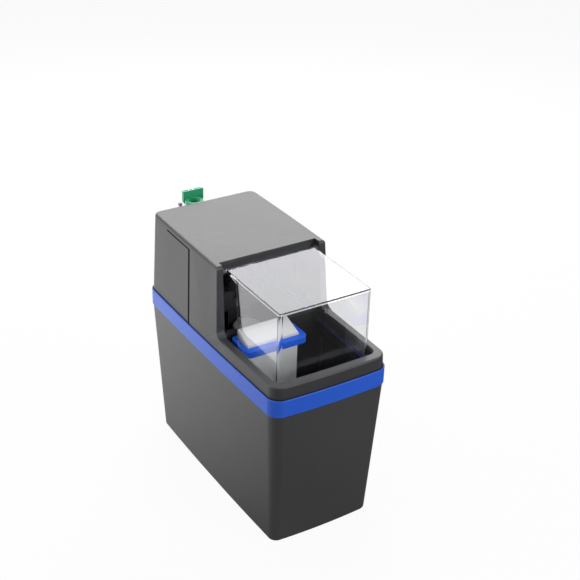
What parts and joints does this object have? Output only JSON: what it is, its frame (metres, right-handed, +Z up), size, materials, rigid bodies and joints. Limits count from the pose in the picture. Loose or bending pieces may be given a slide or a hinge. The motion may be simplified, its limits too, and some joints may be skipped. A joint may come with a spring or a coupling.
{
  "type": "water softener",
  "caption": "Compact cabinet water softener: tapered tub, coloured band, hood with tower, clear hinged lid over an open salt bay, threaded rear pipe ends and hose bracket.",
  "frame": {"origin": "centre of the base on the floor, below the middle of the cabinet", "axes": "+Z up, -Y towards the front with the clear lid, +X to the right seen from the front"},
  "size_m": [0.2574, 0.5421, 0.512],
  "materials": {
    "cabinet_plastic": "fine-grained moulded",
    "blue_plastic": "satin gloss",
    "hood_plastic": "fine-grained moulded",
    "clear_plastic": "clear",
    "pin_steel": "brushed",
    "black_plastic": "satin",
    "frosted_plastic": "frosted",
    "white_plastic": "satin",
    "float_plastic": "satin",
    "tank_plastic": "satin",
    "resin_beads": "beads",
    "cap_plastic": "satin",
    "seal_rubber": "matte",
    "piston_brass": "machined",
    "gear_plastic": "satin",
    "green_plastic": "satin"
  },
  "bodies": {
    "softener": {"cabinet": "cabinet_plastic", "band_ring": "blue_plastic", "hood": "hood_plastic", "lid_pins": "pin_steel", "partition": "black_plastic", "salt_grid": "black_plastic", "brine_well": "frosted_plastic", "well_collar": "blue_plastic", "float_guide": "white_plastic", "brine_valve": "white_plastic", "brine_tube": "black_plastic", "tank_base": "black_plastic", "front_tank": "tank_plastic", "rear_tank": "tank_plastic", "front_resin": "resin_beads", "rear_resin": "resin_beads", "riser_tubes": "white_plastic", "strainers": "white_plastic", "front_neck_cap": "cap_plastic", "rear_neck_cap": "cap_plastic", "neck_seals": "seal_rubber", "manifold": "black_plastic", "port_seals": "seal_rubber", "bore_plugs": "black_plastic", "meter_housing": "black_plastic", "meter_cover": "black_plastic", "gear_pins": "pin_steel", "inlet_pipe": "black_plastic", "outlet_pipe": "black_plastic", "drain_pipe": "black_plastic", "overflow_elbow": "black_plastic", "overflow_nut": "black_plastic", "overflow_gasket": "seal_rubber"},
    "lid": {"salt_lid": "clear_plastic"},
    "cap": {"well_cap": "white_plastic"},
    "float": {"float": "float_plastic"},
    "shuttle": {"shuttle_piston": "piston_brass"},
    "meter_wheel": {"turbine": "gear_plastic"},
    "idler": {"idler_gear": "gear_plastic"},
    "dial": {"index_dial": "gear_plastic"},
    "cover": {"rear_cover": "hood_plastic", "drain_elbow": "white_plastic", "drain_ring": "seal_rubber", "hose_bracket": "green_plastic", "bracket_screws": "pin_steel"}
  },
  "joints": [
    {"name": "lid_hinge", "type": "hinge", "parent": "softener", "child": "lid", "pos_m": [0, -0.025, 0.4855], "axis": [-1, 0, 0], "range_deg": [0, 100]},
    {"name": "cap_lift", "type": "slide", "parent": "softener", "child": "cap", "axis": [0, 0, 1], "range_m": [0, 0.06]},
    {"name": "float_rise", "type": "slide", "parent": "softener", "child": "float", "axis": [0, 0, 1], "range_m": [0, 0.045]},
    {"name": "cover_slide", "type": "slide", "parent": "softener", "child": "cover", "axis": [0, 1, 0], "range_m": [0, 0.06]},
    {"name": "shuttle_shift", "type": "slide", "parent": "softener", "child": "shuttle", "axis": [1, 0, 0], "range_m": [0, 0.0078]},
    {"name": "dial_turn", "type": "hinge", "parent": "softener", "child": "dial", "pos_m": [0.001, 0.12498, 0.43], "axis": [0, 0, 1], "continuous": true},
    {"name": "idler_turn", "type": "hinge", "parent": "softener", "child": "idler", "pos_m": [0.016, 0.099, 0.425], "axis": [0, 0, 1], "continuous": true},
    {"name": "meter_turn", "type": "hinge", "parent": "softener", "child": "meter_wheel", "pos_m": [-0.008, 0.099, 0.4], "axis": [0, 0, 1], "continuous": true}
  ],
  "couplings": [
    {"joint": "idler_turn", "follows": "dial_turn", "ratio": -4},
    {"joint": "meter_turn", "follows": "dial_turn", "ratio": 12}
  ]
}
